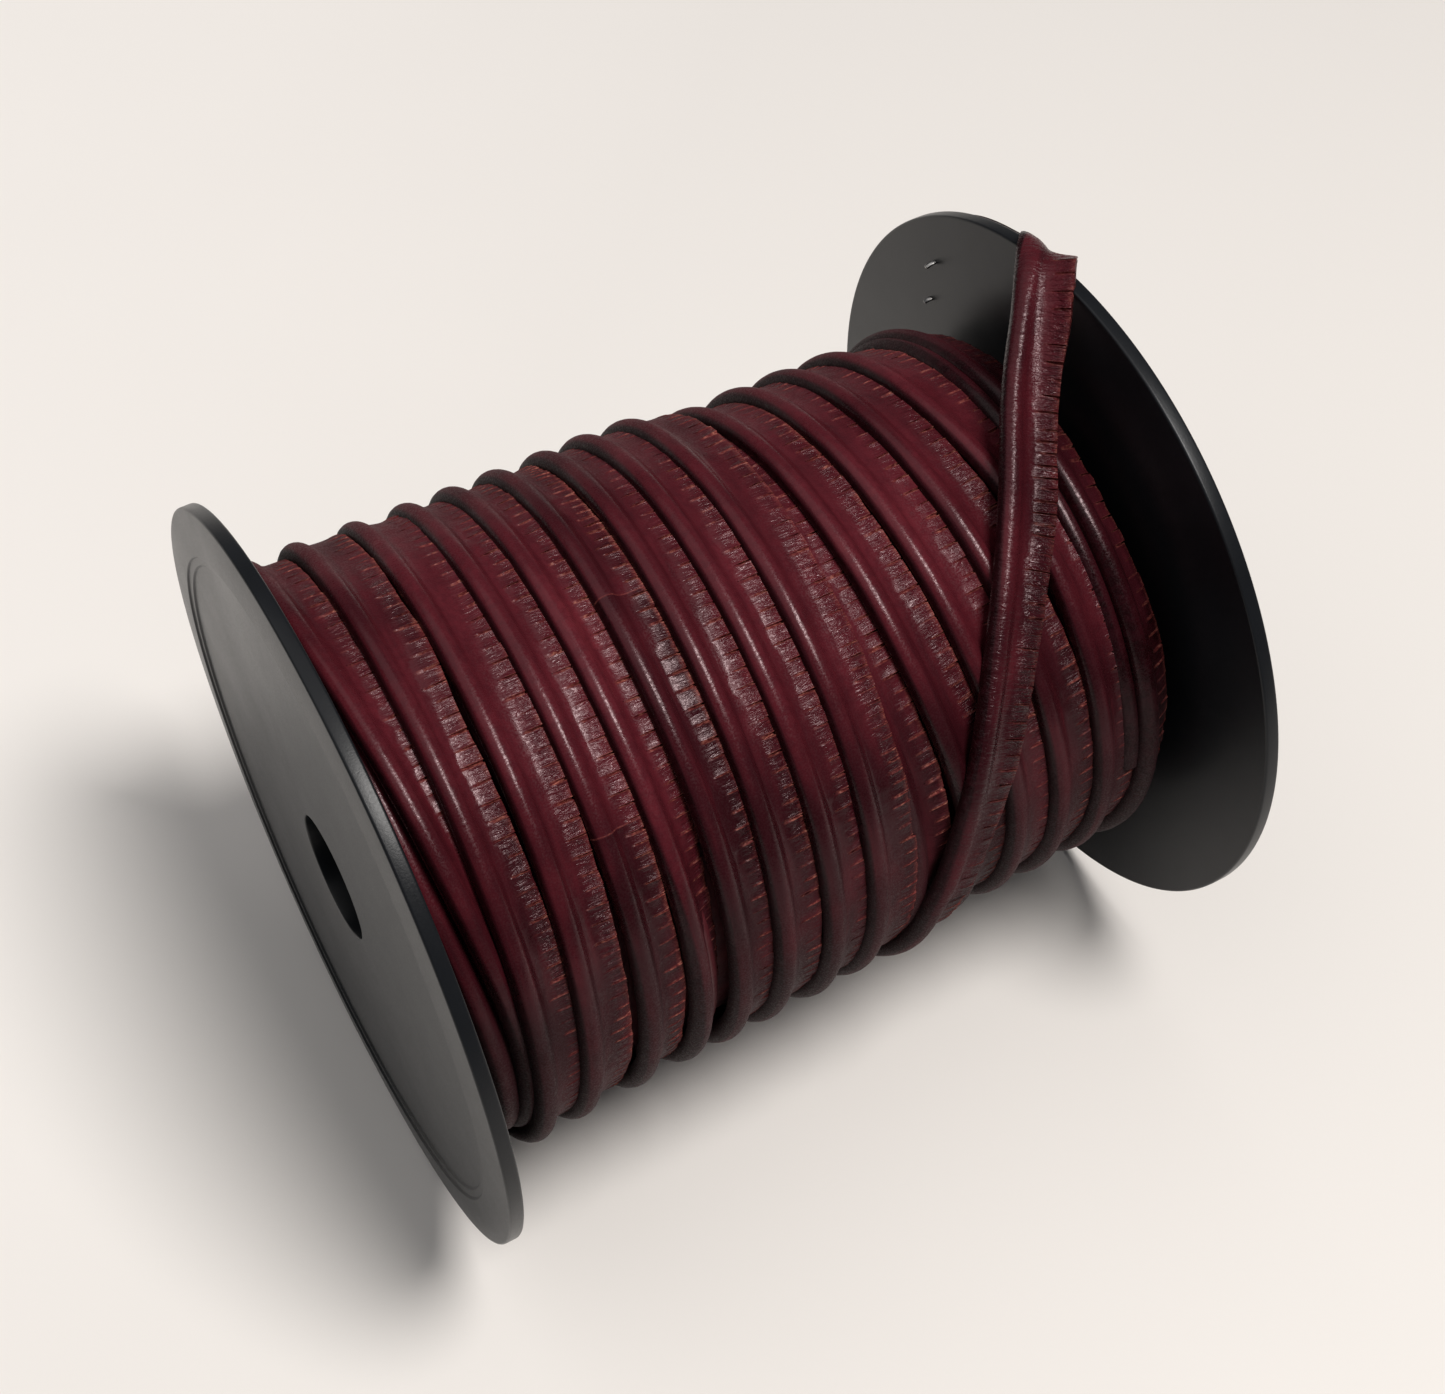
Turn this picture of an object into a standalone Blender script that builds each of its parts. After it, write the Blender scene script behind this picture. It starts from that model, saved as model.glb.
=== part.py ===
"""Leather piping on a black plastic spool.

The spool lies on its side: its axis is X, its two rims rest on the plane Z = 0, and the origin is
midway between the flanges on that plane. A strip of folded leather with a filler cord in its fold
is wound on the core in layers. Its last stretch crosses the winding, folds over the right rim and
is stapled to the outer face. All sizes are in metres.
"""

import math

import bmesh
import bpy
from mathutils import Matrix, Vector

MM = 0.001
GAP = 0.3 * MM  # clearance between pieces that touch

# Spool
FLANGE_RADIUS = 50.0 * MM
SPOOL_WIDTH = 109.0 * MM  # over the outer faces of both flanges
FLANGE_THICKNESS = 2.4 * MM
EDGE_CHAMFER = 0.4 * MM
LAND_INNER_RADIUS = 43.7 * MM  # the raised ring around the recessed outer face
STEP_INNER_RADIUS = 42.5 * MM  # the foot of the small step inside the raised ring
STEP_SLOPE = 0.2 * MM
STEP_DEPTH = 0.3 * MM
RECESS_DEPTH = 0.6 * MM
BORE_RADIUS = 8.5 * MM
SPIGOT_RADIUS = 12.9 * MM  # the collar that plugs into the core tube
SPIGOT_LENGTH = 8.0 * MM
CORE_INNER_RADIUS = SPIGOT_RADIUS + GAP
CORE_RADIUS = 16.6 * MM
FLANGE_SEGMENTS = 64
WINDING_SEGMENTS = 40

# Piping strip: a round bead over the filler cord, and a flat of two plies beside it
BEAD_RADIUS = 1.5 * MM
FLAT_WIDTH = 5.8 * MM  # from the bead's centre to the notched edge
FLAT_THICKNESS = 1.2 * MM
FILLER_RADIUS = 0.7 * MM
BEAD_ARC_STEPS = 8

# Winding
FULL_LAYERS = 7
LAYER_PITCH = 3.03 * MM
LAYER_THICKNESS = LAYER_PITCH - GAP
LAYER_CHAMFER = 1.0 * MM
LAST_LAYER_START = -50.0 * MM
LAST_LAYER_SHOULDER = -20.0 * MM
LAST_LAYER_END = 12.5 * MM  # the last layer is part full: it stops where the tail leaves it
LAST_LAYER_RADII = (41.0 * MM, 39.9 * MM, 39.3 * MM)  # at its start, shoulder and end

# Staple
STAPLE_WIRE_RADIUS = 0.3 * MM
STAPLE_HOLE_RADIUS = STAPLE_WIRE_RADIUS + GAP
STAPLE_LEGS = ((30.9 * MM, 30.2 * MM), (30.7 * MM, 24.4 * MM))  # Y and height over the axis
STAPLE_TIPS = ((29.3 * MM, 29.4 * MM), (29.7 * MM, 25.8 * MM))  # ends of the bent legs
STAPLE_BEND = 0.7 * MM

AXIS_HEIGHT = FLANGE_RADIUS * math.cos(math.pi / FLANGE_SEGMENTS)  # one rim facet lies on Z = 0
OUTER_X = SPOOL_WIDTH / 2
INNER_X = OUTER_X - FLANGE_THICKNESS
FACE_BEAD_X = OUTER_X + GAP + BEAD_RADIUS

# The tail's bead, where it lies on the winding and rises to the rim: X in mm, degrees round the
# axis from the top towards +Y, and mm from the axis
TAIL_ON_WINDING = (
    (14.9, -94.5, 39.8),
    (16.7, -84.0, 39.7),
    (20.5, -63.0, 39.6),
    (27.0, -38.0, 39.7),
    (33.8, -20.0, 40.1),
    (40.5, -4.0, 43.2),
    (45.7, 5.0, 47.7),
    (50.0, 10.6, 51.6),
    (54.2, 15.4, 52.6),
)
# The tail's bead on the outer face, after the fold: X, Y and height over the axis in mm
TAIL_ON_FACE = (
    (56.3, 19.4, 46.4),
    (56.4, 24.6, 41.4),
    (56.4, 29.4, 36.5),
    (56.4, 33.2, 31.2),
    (56.4, 35.2, 26.3),
    (56.4, 36.9, 22.1),
)
TAIL_STATIONS_PER_SPAN = 3
FOLD_START_X = 50.4 * MM
FOLD_END_X = 56.3 * MM
EDGE_LIFT = math.radians(24)  # how far the flat tips up as it climbs over the rim
LIFT_START_X = 41.0 * MM
LIFT_END_X = 56.0 * MM

COLLECTION = "leather_piping_spool"


def clear_scene():
    for old in list(bpy.data.objects):
        bpy.data.objects.remove(old, do_unlink=True)


def make_collection(name):
    collection = bpy.data.collections.new(name)
    bpy.context.scene.collection.children.link(collection)
    return collection


def make_material(name, color, roughness, metallic=0.0):
    material = bpy.data.materials.new(name)
    material.use_nodes = True
    shader = material.node_tree.nodes["Principled BSDF"]
    shader.inputs["Base Color"].default_value = (*color, 1.0)
    shader.inputs["Roughness"].default_value = roughness
    shader.inputs["Metallic"].default_value = metallic
    return material


def add_mesh_object(name, mesh, collection, material=None):
    piece = bpy.data.objects.new(name, mesh)
    collection.objects.link(piece)
    if material is not None:
        mesh.materials.append(material)
    return piece


def make_cutter(name, mesh, collection):
    cutter = add_mesh_object(name, mesh, collection)
    cutter.hide_render = True
    cutter.display_type = "WIRE"
    return cutter


def cut(piece, cutter):
    boolean = piece.modifiers.new(cutter.name, "BOOLEAN")
    boolean.operation = "DIFFERENCE"
    boolean.solver = "EXACT"
    boolean.object = cutter


def turned(name, profile, segments, start_x, outward, collection, material):
    """A ring about the spool's axis. The profile is a closed loop of (radius, offset along the
    axis), and outward is +1 or -1, the way its offsets run along X from start_x."""
    mesh = bpy.data.meshes.new(name)
    points = [(radius, 0.0, offset) for radius, offset in profile]
    edges = [(i, (i + 1) % len(points)) for i in range(len(points))]
    mesh.from_pydata(points, edges, [])
    piece = add_mesh_object(name, mesh, collection, material)
    screw = piece.modifiers.new("turn", "SCREW")
    screw.axis = "Z"
    screw.angle = 2 * math.pi
    screw.steps = segments
    screw.render_steps = segments
    screw.use_merge_vertices = True
    screw.merge_threshold = 0.00001
    screw.use_smooth_shade = False
    half_step = Matrix.Rotation(math.pi / segments, 4, "Z")
    lay_down = Matrix.Rotation(outward * math.pi / 2, 4, "Y")
    piece.matrix_world = Matrix.Translation((start_x, 0, AXIS_HEIGHT)) @ lay_down @ half_step
    return piece


def flange_profile():
    """Runs down the outer side: recessed outer face, rim, inner face, collar, then the bore."""
    top = FLANGE_THICKNESS
    return [
        (BORE_RADIUS, top - RECESS_DEPTH),
        (STEP_INNER_RADIUS - STEP_SLOPE, top - RECESS_DEPTH),
        (STEP_INNER_RADIUS, top - STEP_DEPTH),
        (LAND_INNER_RADIUS - STEP_SLOPE, top - STEP_DEPTH),
        (LAND_INNER_RADIUS, top),
        (FLANGE_RADIUS - EDGE_CHAMFER, top),
        (FLANGE_RADIUS, top - EDGE_CHAMFER),
        (FLANGE_RADIUS, EDGE_CHAMFER),
        (FLANGE_RADIUS - EDGE_CHAMFER, 0.0),
        (SPIGOT_RADIUS, 0.0),
        (SPIGOT_RADIUS, -SPIGOT_LENGTH),
        (BORE_RADIUS, -SPIGOT_LENGTH),
    ]


def tube_profile(inner, outer, length):
    return [(inner, length), (outer, length), (outer, 0.0), (inner, 0.0)]


def make_winding(collection, material):
    """Seven full layers of turns and a last one that is part full, each as the ring it fills."""
    span = 2 * (INNER_X - GAP)
    for layer in range(FULL_LAYERS):
        inner = CORE_RADIUS + GAP + layer * LAYER_PITCH
        profile = tube_profile(inner, inner + LAYER_THICKNESS, span)
        name = f"piping_layer_{layer + 1}"
        turned(name, profile, WINDING_SEGMENTS, -span / 2, 1, collection, material)
    inner = CORE_RADIUS + GAP + FULL_LAYERS * LAYER_PITCH
    start_radius, shoulder_radius, end_radius = LAST_LAYER_RADII
    length = LAST_LAYER_END - LAST_LAYER_START
    profile = [
        (inner, length),
        (end_radius - LAYER_CHAMFER, length),
        (end_radius, length - LAYER_CHAMFER),
        (shoulder_radius, LAST_LAYER_SHOULDER - LAST_LAYER_START),
        (start_radius, LAYER_CHAMFER),
        (start_radius - LAYER_CHAMFER, 0.0),
        (inner, 0.0),
    ]
    name = f"piping_layer_{FULL_LAYERS + 1}"
    turned(name, profile, WINDING_SEGMENTS, LAST_LAYER_START, 1, collection, material)


def round_the_axis(x_mm, degrees, radius_mm):
    angle = math.radians(degrees)
    across, up = math.sin(angle) * radius_mm * MM, math.cos(angle) * radius_mm * MM
    return Vector((x_mm * MM, across, AXIS_HEIGHT + up))


def smooth_through(points, per_span):
    """A Catmull-Rom curve through the points, read at even shares of each span."""
    ends = [2 * points[0] - points[1], 2 * points[-1] - points[-2]]
    padded = [ends[0], *points, ends[1]]
    curve = []
    for before, start, end, after in zip(padded, padded[1:], padded[2:], padded[3:]):
        for step in range(per_span):
            u = step / per_span
            linear = (end - before) * u
            square = (2 * before - 5 * start + 4 * end - after) * u * u
            cube = (3 * start - before - 3 * end + after) * u**3
            curve.append((2 * start + linear + square + cube) / 2)
    curve.append(points[-1])
    return curve


def tail_route():
    points = [round_the_axis(*place) for place in TAIL_ON_WINDING]
    points += [Vector((x * MM, y * MM, AXIS_HEIGHT + z * MM)) for x, y, z in TAIL_ON_FACE]
    return smooth_through(points, TAIL_STATIONS_PER_SPAN)


def directions(route):
    last = len(route) - 1
    return [(route[min(i + 1, last)] - route[max(i - 1, 0)]).normalized() for i in range(last + 1)]


def strip_frames(route):
    """For each station its place, the way from the bead to the flat's edge, and the way out of the
    strip's upper side. The upper side faces away from the axis, and along X after the fold. The
    flat's edge tips up to climb over the rim."""
    frames = []
    for place, along in zip(route, directions(route)):
        radial = Vector((0, place.y, place.z - AXIS_HEIGHT)).normalized()
        folded = min(max((place.x - FOLD_START_X) / (FOLD_END_X - FOLD_START_X), 0.0), 1.0)
        turn = folded * math.pi / 2
        up = radial * math.cos(turn) + Vector((1, 0, 0)) * math.sin(turn)
        side = along.cross(up).normalized()
        lifting = min(max((place.x - LIFT_START_X) / (LIFT_END_X - LIFT_START_X), 0.0), 1.0)
        lift = Matrix.Rotation(-EDGE_LIFT * math.sin(math.pi * lifting), 3, along)
        side = lift @ side
        frames.append((place, side, side.cross(along).normalized()))
    return frames


def strip_section():
    """The strip's outline as (towards the flat's edge, upwards) from the bead's centre."""
    start = math.asin(FLAT_THICKNESS / 2 / BEAD_RADIUS)
    sweep = (2 * math.pi - 2 * start) / BEAD_ARC_STEPS
    angles = [start + sweep * step for step in range(BEAD_ARC_STEPS + 1)]
    bead = [(BEAD_RADIUS * math.cos(a), BEAD_RADIUS * math.sin(a)) for a in angles]
    return [*bead, (FLAT_WIDTH, -FLAT_THICKNESS / 2), (FLAT_WIDTH, FLAT_THICKNESS / 2)]


def make_tail_cover(route, collection, material):
    """The leather of the tail, a loft of the strip's outline that turns over at the rim."""
    section = strip_section()
    around = len(section)
    body = bmesh.new()
    rings = []
    for place, side, up in strip_frames(route):
        rings.append([body.verts.new(place + side * across + up * over) for across, over in section])
    for ring, following in zip(rings, rings[1:]):
        for i in range(around):
            j = (i + 1) % around
            body.faces.new((ring[i], ring[j], following[j], following[i]))
    body.faces.new(rings[0])
    body.faces.new(rings[-1])
    bmesh.ops.recalc_face_normals(body, faces=body.faces)
    bmesh.ops.triangulate(body, faces=body.faces)
    mesh = bpy.data.meshes.new("tail_leather")
    body.to_mesh(mesh)
    body.free()
    return add_mesh_object("tail_leather", mesh, collection, material)


def make_wire(name, points, radius, collection, material=None):
    """A round wire or cord through the points, with flat ends."""
    curve = bpy.data.curves.new(name, "CURVE")
    curve.dimensions = "3D"
    curve.bevel_depth = radius
    curve.bevel_resolution = 2
    curve.use_fill_caps = True
    spline = curve.splines.new("POLY")
    spline.points.add(len(points) - 1)
    for target, point in zip(spline.points, points):
        target.co = (*point, 1.0)
    wire = bpy.data.objects.new(name, curve)
    collection.objects.link(wire)
    if material is not None:
        curve.materials.append(material)
    return wire


def wire_as_mesh(wire):
    """The wire's closed mesh. The wire itself is removed."""
    bpy.context.view_layer.update()
    evaluated = wire.evaluated_get(bpy.context.evaluated_depsgraph_get())
    mesh = bpy.data.meshes.new_from_object(evaluated)
    bpy.data.objects.remove(wire, do_unlink=True)
    body = bmesh.new()
    body.from_mesh(mesh)
    bmesh.ops.remove_doubles(body, verts=body.verts, dist=0.000001)
    body.to_mesh(mesh)
    body.free()
    return mesh


def make_leg_cutter(name, place, collection):
    """A short rod through the tail and the flange at one staple leg."""
    y, height = place
    low, high = INNER_X - FLANGE_THICKNESS, FACE_BEAD_X + FLANGE_THICKNESS
    body = bmesh.new()
    turn = Matrix.Rotation(math.pi / 2, 4, "Y")
    centre = Matrix.Translation(((low + high) / 2, y, AXIS_HEIGHT + height))
    bmesh.ops.create_cone(
        body,
        cap_ends=True,
        segments=12,
        radius1=STAPLE_HOLE_RADIUS,
        radius2=STAPLE_HOLE_RADIUS,
        depth=high - low,
        matrix=centre @ turn,
    )
    mesh = bpy.data.meshes.new(name)
    body.to_mesh(mesh)
    body.free()
    return make_cutter(name, mesh, collection)


def make_staple(collection, material):
    """The crown lies on the strip, and the legs go through strip and flange and are bent over."""
    crown_x = FACE_BEAD_X + FLAT_THICKNESS / 2 + 2 * GAP + STAPLE_WIRE_RADIUS
    tip_x = INNER_X - GAP - STAPLE_WIRE_RADIUS
    first, second = (Vector((0, y, AXIS_HEIGHT + z)) for y, z in STAPLE_LEGS)
    ends = [Vector((0, y, AXIS_HEIGHT + z)) for y, z in STAPLE_TIPS]
    across = (second - first).normalized()
    outward = Vector((1, 0, 0))
    half = []
    for leg, tip, inward in ((first, ends[0], across), (second, ends[1], -across)):
        bent = (tip - leg).normalized()
        half.append([
            tip + outward * tip_x,
            leg + bent * STAPLE_BEND + outward * tip_x,
            leg + bent * STAPLE_BEND * 0.3 + outward * (tip_x + STAPLE_BEND * 0.3),
            leg + outward * (tip_x + STAPLE_BEND),
            leg + outward * (crown_x - STAPLE_BEND),
            leg + inward * STAPLE_BEND * 0.3 + outward * (crown_x - STAPLE_BEND * 0.3),
            leg + inward * STAPLE_BEND + outward * crown_x,
        ])
    points = half[0] + half[1][::-1]
    make_wire("staple", points, STAPLE_WIRE_RADIUS, collection, material)


def main():
    clear_scene()
    parts = make_collection(COLLECTION)
    cutters = make_collection("cutters")
    plastic = make_material("black_plastic", (0.018, 0.019, 0.021), 0.42)
    core_plastic = make_material("core_plastic", (0.03, 0.03, 0.03), 0.5)
    leather = make_material("burgundy_leather", (0.13, 0.014, 0.02), 0.38)
    cotton = make_material("filler_cotton", (0.62, 0.56, 0.46), 0.9)
    steel = make_material("staple_steel", (0.6, 0.6, 0.6), 0.3, 1.0)

    profile = flange_profile()
    turned("left_flange", profile, FLANGE_SEGMENTS, -INNER_X, -1, parts, plastic)
    right_flange = turned("right_flange", profile, FLANGE_SEGMENTS, INNER_X, 1, parts, plastic)
    span = 2 * (INNER_X - GAP)
    tube = tube_profile(CORE_INNER_RADIUS, CORE_RADIUS, span)
    turned("core_tube", tube, WINDING_SEGMENTS, -span / 2, 1, parts, core_plastic)
    make_winding(parts, leather)

    route = tail_route()
    tail = make_tail_cover(route, parts, leather)
    make_wire("tail_filler_cord", route, FILLER_RADIUS, parts, cotton)
    ends = [route[0] * 2 - route[1], route[-1] * 2 - route[-2]]
    channel = make_wire("channel", [ends[0], *route, ends[1]], FILLER_RADIUS + GAP, cutters)
    cut(tail, make_cutter("filler_channel", wire_as_mesh(channel), cutters))
    for number, place in enumerate(STAPLE_LEGS, 1):
        rod = make_leg_cutter(f"staple_hole_{number}", place, cutters)
        cut(tail, rod)
        cut(right_flange, rod)
    make_staple(parts, steel)


main()
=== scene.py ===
"""Visual model of leather piping on a black plastic spool that lies on its side.

The spool's axis is X. Lengths in the tables are in millimetres. Angles run round the axis from the
top towards +Y.
"""

import math

import bpy
import numpy as np
from mathutils import Matrix, Vector


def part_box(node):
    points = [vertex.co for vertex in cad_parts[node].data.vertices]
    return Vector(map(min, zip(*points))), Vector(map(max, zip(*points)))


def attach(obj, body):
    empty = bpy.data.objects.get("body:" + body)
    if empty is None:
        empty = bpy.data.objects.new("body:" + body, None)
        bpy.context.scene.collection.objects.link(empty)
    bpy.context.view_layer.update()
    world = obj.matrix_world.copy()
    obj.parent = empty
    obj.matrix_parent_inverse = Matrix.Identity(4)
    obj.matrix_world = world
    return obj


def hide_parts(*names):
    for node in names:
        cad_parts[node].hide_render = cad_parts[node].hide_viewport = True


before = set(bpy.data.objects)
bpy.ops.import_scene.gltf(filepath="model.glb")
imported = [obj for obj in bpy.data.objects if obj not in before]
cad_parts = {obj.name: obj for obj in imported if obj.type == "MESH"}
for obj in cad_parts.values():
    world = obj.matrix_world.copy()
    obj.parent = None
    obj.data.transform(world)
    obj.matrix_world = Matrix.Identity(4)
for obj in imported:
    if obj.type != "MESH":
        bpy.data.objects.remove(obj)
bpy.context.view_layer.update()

MM = 0.001
SEED = 11
TAIL_SEED = 61
FLANGE_SEEDS = {-1: 14, 1: 18}  # by the way that the flange faces

RIGHT_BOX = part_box("right_flange")
AXIS_HEIGHT = (RIGHT_BOX[0].z + RIGHT_BOX[1].z) / 2
OUTER_X = RIGHT_BOX[1].x
FLANGE_RADIUS = 50.0
FLANGE_THICKNESS = 2.4
INNER_X = OUTER_X - FLANGE_THICKNESS * MM

# ---------------------------------------------------------------- camera

CAMERA_PLACE = Vector((-0.09143, -0.15671, 0.30809))
CAMERA_TARGET = Vector((0.00087, 0.01199, 0.04994))
CAMERA_RIGHT = Vector((0.87728, -0.47997, 0.0))
CAMERA_LENS = 59.37
CAMERA_SENSOR = 36.0
CAMERA_NEAR = 0.01
CAMERA_SHIFT = (0.03706, -0.03727)


def make_camera():
    data = bpy.data.cameras.new("camera")
    data.lens = CAMERA_LENS
    data.sensor_width = CAMERA_SENSOR
    data.shift_x, data.shift_y = CAMERA_SHIFT
    data.clip_start = CAMERA_NEAR
    camera = bpy.data.objects.new("camera", data)
    bpy.context.scene.collection.objects.link(camera)
    back = (CAMERA_PLACE - CAMERA_TARGET).normalized()
    up = back.cross(CAMERA_RIGHT).normalized()
    right = up.cross(back)
    turn = Matrix((right, up, back)).transposed().to_4x4()
    camera.matrix_world = Matrix.Translation(CAMERA_PLACE) @ turn
    bpy.context.scene.camera = camera


# ---------------------------------------------------------------- node materials


def rgb(red, green, blue):
    return (red, green, blue, 1.0)


class Nodes:
    """Short calls for building one material's node tree."""

    def __init__(self, name):
        self.material = bpy.data.materials.new(name)
        self.material.use_nodes = True
        self.tree = self.material.node_tree
        self.shader = self.tree.nodes["Principled BSDF"]

    def add(self, kind, **values):
        node = self.tree.nodes.new(kind)
        for key, value in values.items():
            setattr(node, key, value)
        return node

    def link(self, start, end):
        self.tree.links.new(start, end)

    def feed(self, socket, value):
        if isinstance(value, bpy.types.NodeSocket):
            self.link(value, socket)
        else:
            socket.default_value = value

    def attribute(self, name, output="Fac"):
        return self.add("ShaderNodeAttribute", attribute_name=name).outputs[output]

    def math(self, operation, a, b=0.0, clamp=False):
        node = self.add("ShaderNodeMath", operation=operation, use_clamp=clamp)
        self.feed(node.inputs[0], a)
        self.feed(node.inputs[1], b)
        return node.outputs[0]

    def noise(self, vector, scale, detail=2.0, roughness=0.5, distortion=0.0):
        node = self.add("ShaderNodeTexNoise")
        self.feed(node.inputs["Vector"], vector)
        node.inputs["Scale"].default_value = scale
        node.inputs["Detail"].default_value = detail
        node.inputs["Roughness"].default_value = roughness
        node.inputs["Distortion"].default_value = distortion
        return node.outputs["Fac"]

    def stretch(self, vector, scale):
        node = self.add("ShaderNodeMapping")
        self.feed(node.inputs["Vector"], vector)
        node.inputs["Scale"].default_value = scale
        return node.outputs["Vector"]

    def place(self):
        return self.add("ShaderNodeTexCoord").outputs["Object"]

    def ramp(self, value, stops):
        node = self.add("ShaderNodeValToRGB")
        self.feed(node.inputs["Fac"], value)
        elements = node.color_ramp.elements
        while len(elements) < len(stops):
            elements.new(0.5)
        for element, (position, color) in zip(elements, stops):
            element.position = position
            element.color = rgb(*color)
        return node.outputs["Color"]

    def span(self, value, low, high, start=0.0, end=1.0):
        node = self.add("ShaderNodeMapRange")
        self.feed(node.inputs["Value"], value)
        node.inputs["From Min"].default_value = low
        node.inputs["From Max"].default_value = high
        node.inputs["To Min"].default_value = start
        node.inputs["To Max"].default_value = end
        return node.outputs["Result"]

    def mix(self, share, a, b):
        node = self.add("ShaderNodeMix", data_type="RGBA")
        self.feed(node.inputs["Factor"], share)
        self.feed(node.inputs["A"], a)
        self.feed(node.inputs["B"], b)
        return node.outputs["Result"]

    def bump(self, height, distance, strength=1.0, normal=None):
        node = self.add("ShaderNodeBump")
        node.inputs["Strength"].default_value = strength
        node.inputs["Distance"].default_value = distance
        self.feed(node.inputs["Height"], height)
        if normal is not None:
            self.link(normal, node.inputs["Normal"])
        return node.outputs["Normal"]

    def set(self, **values):
        for key, value in values.items():
            self.feed(self.shader.inputs[key.replace("_", " ")], value)


# Dyed leather from its darkest to its lightest, by position on the ramp. The darkest stop serves the
# painted shade in the gaps between turns
DYE = (
    (0.05, (0.008, 0.0010, 0.0016)),
    (0.28, (0.028, 0.0040, 0.0062)),
    (0.44, (0.058, 0.0072, 0.0110)),
    (0.58, (0.078, 0.0098, 0.0150)),
    (0.78, (0.108, 0.0140, 0.0200)),
)
DARK_FLECK = (0.030, 0.004, 0.007)
# The undyed inside of the leather, which shows where it is cut
RAW_LEATHER = (
    (0.30, (0.060, 0.007, 0.009)),
    (0.50, (0.190, 0.034, 0.029)),
    (0.72, (0.430, 0.175, 0.125)),
)
GRAIN_DEPTH = 0.000035  # metres
CREASE_DEPTH = 0.00014
LINE_DEPTH = 0.00005
LEATHER_IOR = 1.31
LEATHER_GLOSS_TINT = (1.0, 0.80, 0.83)
ROUGHER_WHERE_DULL = 0.45
ROUGHER_WHERE_CUT = 0.40
ROUGHER_WHERE_CREASED = -0.04
ROUGHEST = 0.85


def leather_material():
    """Waxed burgundy leather: uneven dye with painted shade in places, fine grain, creases along the
    strip, and raw cut edges.
    """
    n = Nodes("burgundy_leather_look")
    place = n.place()
    strip = n.attribute("strip", "Vector")
    cut = n.attribute("cut")
    crinkle = n.attribute("crinkle")
    shade = n.attribute("tone_and_shade")
    cloud = n.noise(place, 70.0, 3.0, 0.55)
    patch = n.noise(n.stretch(strip, (0.05, 0.35, 1.0)), 1.0, 3.0, 0.6)
    tone_and_shade = n.math("ADD", n.math("MULTIPLY", cloud, 0.5), n.math("MULTIPLY", patch, 0.5))
    # The strip's tone attribute brings painted shade as well as the dye's own tone
    tone_and_shade = n.math("ADD", tone_and_shade, shade)
    dye = n.ramp(tone_and_shade, DYE)
    fleck = n.span(n.noise(place, 900.0, 3.0, 0.6), 0.42, 0.62)
    dye = n.mix(n.math("MULTIPLY", fleck, 0.30), dye, rgb(*DARK_FLECK))
    fibre = n.noise(n.stretch(strip, (6.0, 1.5, 1.0)), 1.0, 3.0, 0.7)
    raw = n.ramp(fibre, RAW_LEATHER)
    show = n.math("MULTIPLY", cut, n.span(fibre, 0.25, 0.6, 0.35, 1.0), clamp=True)
    n.set(Base_Color=n.mix(show, dye, raw))

    grain = n.noise(place, 4200.0, 2.0, 0.6)
    ripple = n.noise(n.stretch(strip, (1.9, 0.42, 1.0)), 1.0, 3.0, 0.62, 0.5)
    ripple = n.span(ripple, 0.36, 0.64)
    lines = n.noise(n.stretch(strip, (0.10, 2.2, 1.0)), 1.0, 2.0, 0.5)
    gloss = n.math("ADD", n.span(grain, 0.36, 0.64, 0.06, 0.40), n.math("MULTIPLY", cloud, 0.10))
    gloss = n.math("ADD", gloss, n.math("MULTIPLY", n.attribute("dull"), ROUGHER_WHERE_DULL))
    gloss = n.math("ADD", gloss, n.math("MULTIPLY", cut, ROUGHER_WHERE_CUT))
    gloss = n.math("ADD", gloss, n.math("MULTIPLY", crinkle, ROUGHER_WHERE_CREASED))
    n.set(Roughness=n.math("MINIMUM", gloss, ROUGHEST))
    fine = n.bump(grain, GRAIN_DEPTH, 0.5)
    folds = n.math("MULTIPLY", ripple, n.math("ADD", crinkle, 0.04))
    wrinkled = n.bump(folds, CREASE_DEPTH, 1.0, fine)
    n.set(Normal=n.bump(lines, LINE_DEPTH, 0.3, wrinkled))
    n.set(IOR=LEATHER_IOR, Specular_Tint=rgb(*LEATHER_GLOSS_TINT))
    return n.material


def inner_leather_material():
    """The same leather deep in the winding, where only dull dark turns are glimpsed."""
    n = Nodes("inner_leather_look")
    place = n.place()
    cloud = n.noise(place, 90.0, 3.0, 0.6)
    n.set(Base_Color=n.ramp(cloud, [(0.3, (0.030, 0.005, 0.008)), (0.7, (0.110, 0.012, 0.018))]))
    n.set(Roughness=n.span(n.noise(place, 1800.0, 3.0), 0.3, 0.7, 0.40, 0.60))
    n.set(Normal=n.bump(n.noise(place, 2400.0, 4.0, 0.6), 0.00006, 0.6))
    return n.material


def plastic_material():
    """Moulded black plastic with a fine texture, faint turning marks and light scuffs."""
    n = Nodes("black_plastic_look")
    place = n.place()
    cloud = n.noise(place, 45.0, 3.0, 0.6)
    grain = n.noise(place, 3800.0, 3.0, 0.6)
    scuff = n.noise(n.stretch(place, (260.0, 60.0, 60.0)), 1.0, 5.0, 0.7)
    black = [(0.3, (0.0050, 0.0056, 0.0070)), (0.7, (0.0090, 0.0100, 0.0120))]
    n.set(Base_Color=n.ramp(cloud, black))
    rough = n.math("ADD", n.math("MULTIPLY", grain, 0.16), n.math("MULTIPLY", scuff, 0.14))
    n.set(Roughness=n.math("ADD", rough, 0.18, clamp=True))
    n.set(Normal=n.bump(scuff, 0.00005, 0.4, n.bump(grain, 0.00004, 0.35)))
    n.set(IOR=1.31)
    return n.material


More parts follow.
